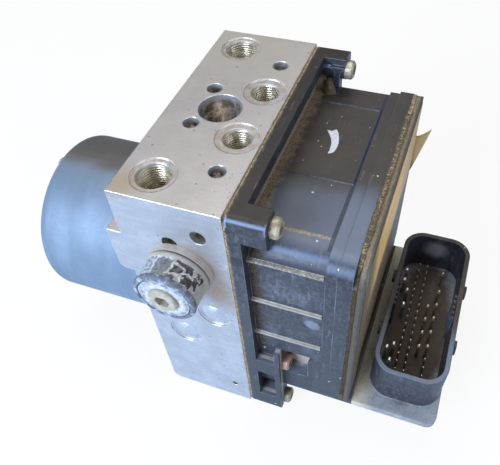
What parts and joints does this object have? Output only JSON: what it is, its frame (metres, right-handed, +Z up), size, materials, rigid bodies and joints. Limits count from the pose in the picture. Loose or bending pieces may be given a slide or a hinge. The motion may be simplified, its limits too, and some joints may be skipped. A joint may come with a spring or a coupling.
{
  "type": "abs brake module",
  "caption": "Brake pressure modulator with a round pump motor, a drilled valve block and a black controller with an upward connector.",
  "frame": {"origin": "middle of the valve block's bottom face", "axes": "+X from the motor to the controller, +Y from the bush side to the back, +Z up out of the pipe ports"},
  "size_m": [0.1967, 0.118, 0.131],
  "materials": {
    "machined_aluminium": "milled, stained",
    "turned_aluminium": "turned",
    "motor_steel": "matte coated steel",
    "bright_steel": "ground",
    "yellow_zinc": "zinc plated, dull",
    "white_oxide": "zinc with white oxide",
    "bush_rubber": "cracked",
    "seal_rubber": "smooth",
    "dirty_seal": "silicone covered in sandy dirt",
    "housing_plastic": "fine moulded grain, dusty",
    "pin_gold": "gold flash",
    "pin_tin": "tinned",
    "copper": "enamelled wire",
    "iron_core": "laminated",
    "magnet_ferrite": "matte",
    "brush_carbon": "matte",
    "brown_plastic": "moulded",
    "white_plastic": "moulded",
    "board_green": "solder resist",
    "chip_black": "moulded",
    "label_tan": "aged film"
  },
  "bodies": {
    "block": {"valve_block": "machined_aluminium", "damper_plugs": "turned_aluminium", "pump_plugs": "turned_aluminium", "bush_washer": "white_oxide", "bush_rubber": "bush_rubber", "bush_sleeve": "white_oxide", "bush_screw": "yellow_zinc", "accumulator_caps": "turned_aluminium", "accumulator_spring_front": "bright_steel", "accumulator_spring_back": "bright_steel", "inlet_valves": "bright_steel", "outlet_valves": "bright_steel", "switching_valves": "bright_steel", "priming_valves": "bright_steel", "pressure_sensor": "bright_steel", "pump_spring_front": "bright_steel", "pump_spring_back": "bright_steel", "pump_sleeves": "bright_steel", "motor_can": "motor_steel", "motor_magnets": "magnet_ferrite", "motor_end_bearing": "bright_steel", "motor_block_bearing": "bright_steel", "brush_plate": "brown_plastic", "brushes": "brush_carbon", "brush_springs": "bright_steel", "motor_seal": "seal_rubber", "motor_bolts": "yellow_zinc", "motor_terminals": "pin_gold", "terminal_sleeve": "white_plastic", "controller_gasket": "dirty_seal", "controller_housing": "housing_plastic", "controller_cover": "housing_plastic", "cover_seal": "dirty_seal", "controller_label": "label_tan", "controller_screws": "yellow_zinc", "valve_coils": "copper", "coil_yokes": "bright_steel", "coil_pins": "pin_tin", "circuit_board": "board_green", "board_chips": "chip_black", "board_capacitors": "chip_black", "signal_pins": "pin_gold", "load_pins": "pin_gold", "supply_pins": "pin_tin"},
    "rotor": {"motor_shaft": "bright_steel", "armature_core": "iron_core", "armature_windings": "copper", "commutator": "copper"},
    "ring": {"eccentric_ring": "bright_steel"},
    "piston_front": {"pump_piston_front": "bright_steel"},
    "piston_back": {"pump_piston_back": "bright_steel"},
    "reservoir_front": {"accumulator_piston_front": "turned_aluminium", "accumulator_seal_front": "seal_rubber"},
    "reservoir_back": {"accumulator_piston_back": "turned_aluminium", "accumulator_seal_back": "seal_rubber"}
  },
  "joints": [
    {"name": "rotor_spin", "type": "hinge", "parent": "block", "child": "rotor", "pos_m": [-0.0205, 0, 0.0505], "axis": [1, 0, 0], "continuous": true},
    {"name": "ring_spin", "type": "hinge", "parent": "rotor", "child": "ring", "pos_m": [-0.0054, 0.0012, 0.0505], "axis": [1, 0, 0], "continuous": true},
    {"name": "piston_front_stroke", "type": "slide", "parent": "block", "child": "piston_front", "axis": [0, -1, 0], "range_m": [0, 0.0024], "stiffness_N_per_m": 2500, "springref_m": -0.002, "deforming": ["pump_spring_front"]},
    {"name": "piston_back_stroke", "type": "slide", "parent": "block", "child": "piston_back", "axis": [0, 1, 0], "range_m": [0, 0.0024], "stiffness_N_per_m": 2500, "springref_m": -0.002, "deforming": ["pump_spring_back"]},
    {"name": "reservoir_front_stroke", "type": "slide", "parent": "block", "child": "reservoir_front", "axis": [0, 0, -1], "range_m": [0, 0.007], "stiffness_N_per_m": 1500, "springref_m": -0.004, "deforming": ["accumulator_spring_front"]},
    {"name": "reservoir_back_stroke", "type": "slide", "parent": "block", "child": "reservoir_back", "axis": [0, 0, -1], "range_m": [0, 0.007], "stiffness_N_per_m": 1500, "springref_m": -0.004, "deforming": ["accumulator_spring_back"]}
  ]
}
